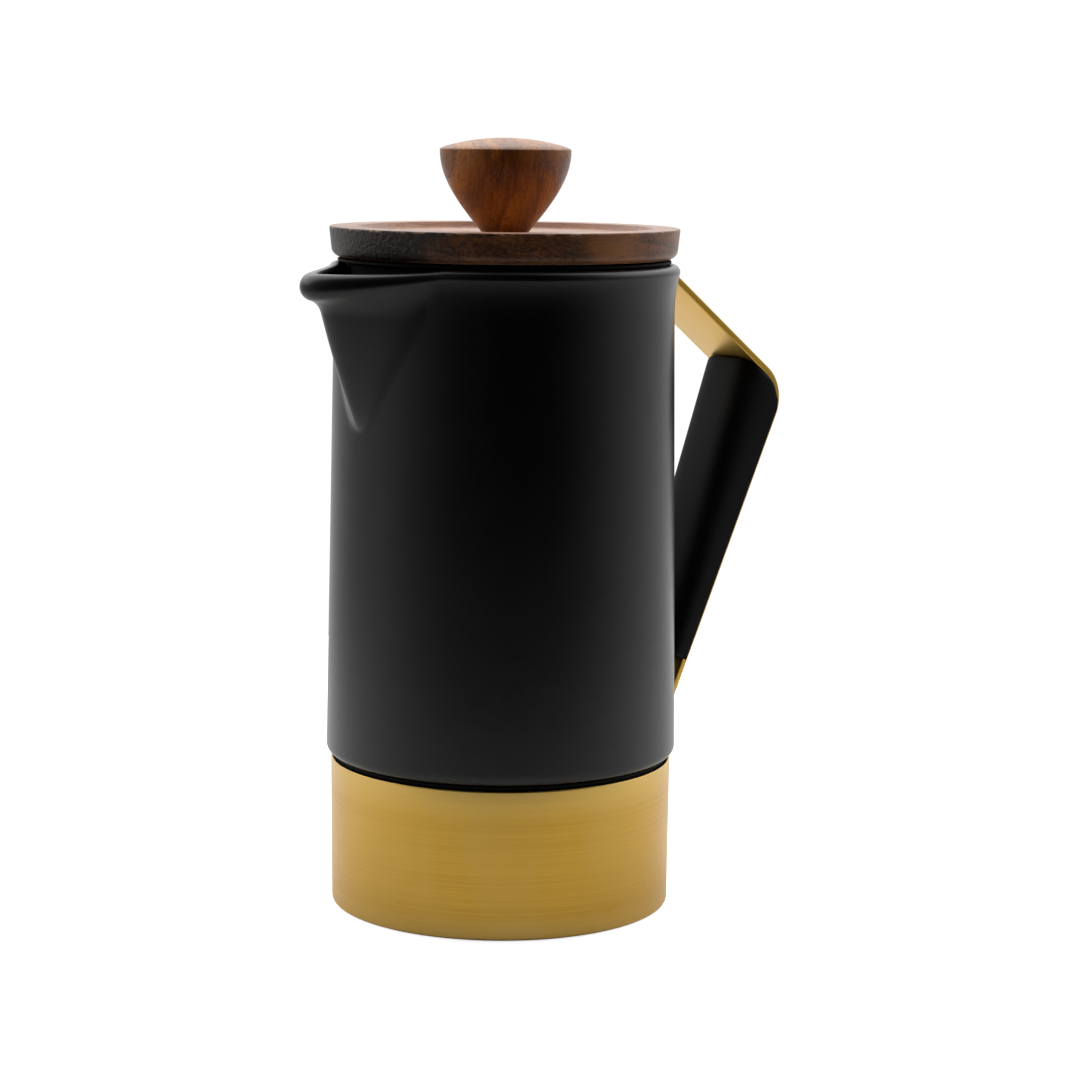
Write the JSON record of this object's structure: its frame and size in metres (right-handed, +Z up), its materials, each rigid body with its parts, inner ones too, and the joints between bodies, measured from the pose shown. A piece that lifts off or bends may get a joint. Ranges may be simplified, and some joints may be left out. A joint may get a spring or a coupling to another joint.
{
  "type": "french press",
  "caption": "Cylindrical ceramic plunger coffee maker with a pulled spout, metal base cup, angular strap handle with a black grip, and a wooden lid and plunger knob.",
  "frame": {"origin": "centre of the underside of the foot pad, on the surface the press stands on", "axes": "+Z up along the axis of the jug, -X towards the spout, +X towards the handle"},
  "size_m": [0.1594, 0.0998, 0.2174],
  "materials": {
    "black_ceramic": "satin black glaze",
    "gold_steel": "brushed steel with a gold-coloured coating",
    "walnut": "oiled open-pored dark wood",
    "grip_polymer": "smooth matte black",
    "black_silicone": "matte black silicone",
    "bare_steel": "satin stainless steel",
    "steel_mesh": "fine woven stainless mesh",
    "insert_brass": "turned brass"
  },
  "bodies": {
    "jug": {"jug_body": "black_ceramic", "base_cup": "gold_steel", "seat_ring": "black_silicone", "base_cushion": "black_silicone", "foot_pad": "black_silicone", "handle_strap": "gold_steel", "handle_grip": "grip_polymer", "handle_pad_upper": "black_silicone", "handle_pad_lower": "black_silicone", "grip_screw_upper": "gold_steel", "grip_screw_lower": "gold_steel", "handle_screw_upper": "bare_steel", "handle_screw_lower": "bare_steel", "handle_insert_upper": "insert_brass", "handle_insert_lower": "insert_brass", "base_rivet_upper": "gold_steel", "base_rivet_lower": "gold_steel"},
    "gasket": {"lid_gasket": "black_silicone"},
    "lid": {"lid_disc": "walnut", "lid_collar": "bare_steel", "rod_bush": "bare_steel", "bush_nut": "bare_steel", "collar_screw_1": "bare_steel", "collar_screw_2": "bare_steel", "collar_screw_3": "bare_steel"},
    "plunger": {"plunger_rod": "bare_steel", "rod_hub": "bare_steel", "spring_plate": "bare_steel", "rim_spring": "bare_steel", "mesh_screen": "steel_mesh", "cross_plate": "bare_steel", "filter_nut": "bare_steel"},
    "knob": {"knob": "walnut", "knob_insert": "insert_brass"}
  },
  "joints": [
    {"name": "lid_lift", "type": "slide", "parent": "jug", "child": "gasket", "axis": [0, 0, 1], "range_m": [0, 0.17]},
    {"name": "lid_turn", "type": "hinge", "parent": "gasket", "child": "lid", "pos_m": [0, 0, 0.184], "axis": [0, 0, 1], "continuous": true},
    {"name": "plunge", "type": "slide", "parent": "lid", "child": "plunger", "axis": [0, 0, 1], "range_m": [0, 0.125]},
    {"name": "knob_turn", "type": "hinge", "parent": "plunger", "child": "knob", "pos_m": [0, 0, 0.2], "axis": [0, 0, 1], "continuous": true}
  ]
}
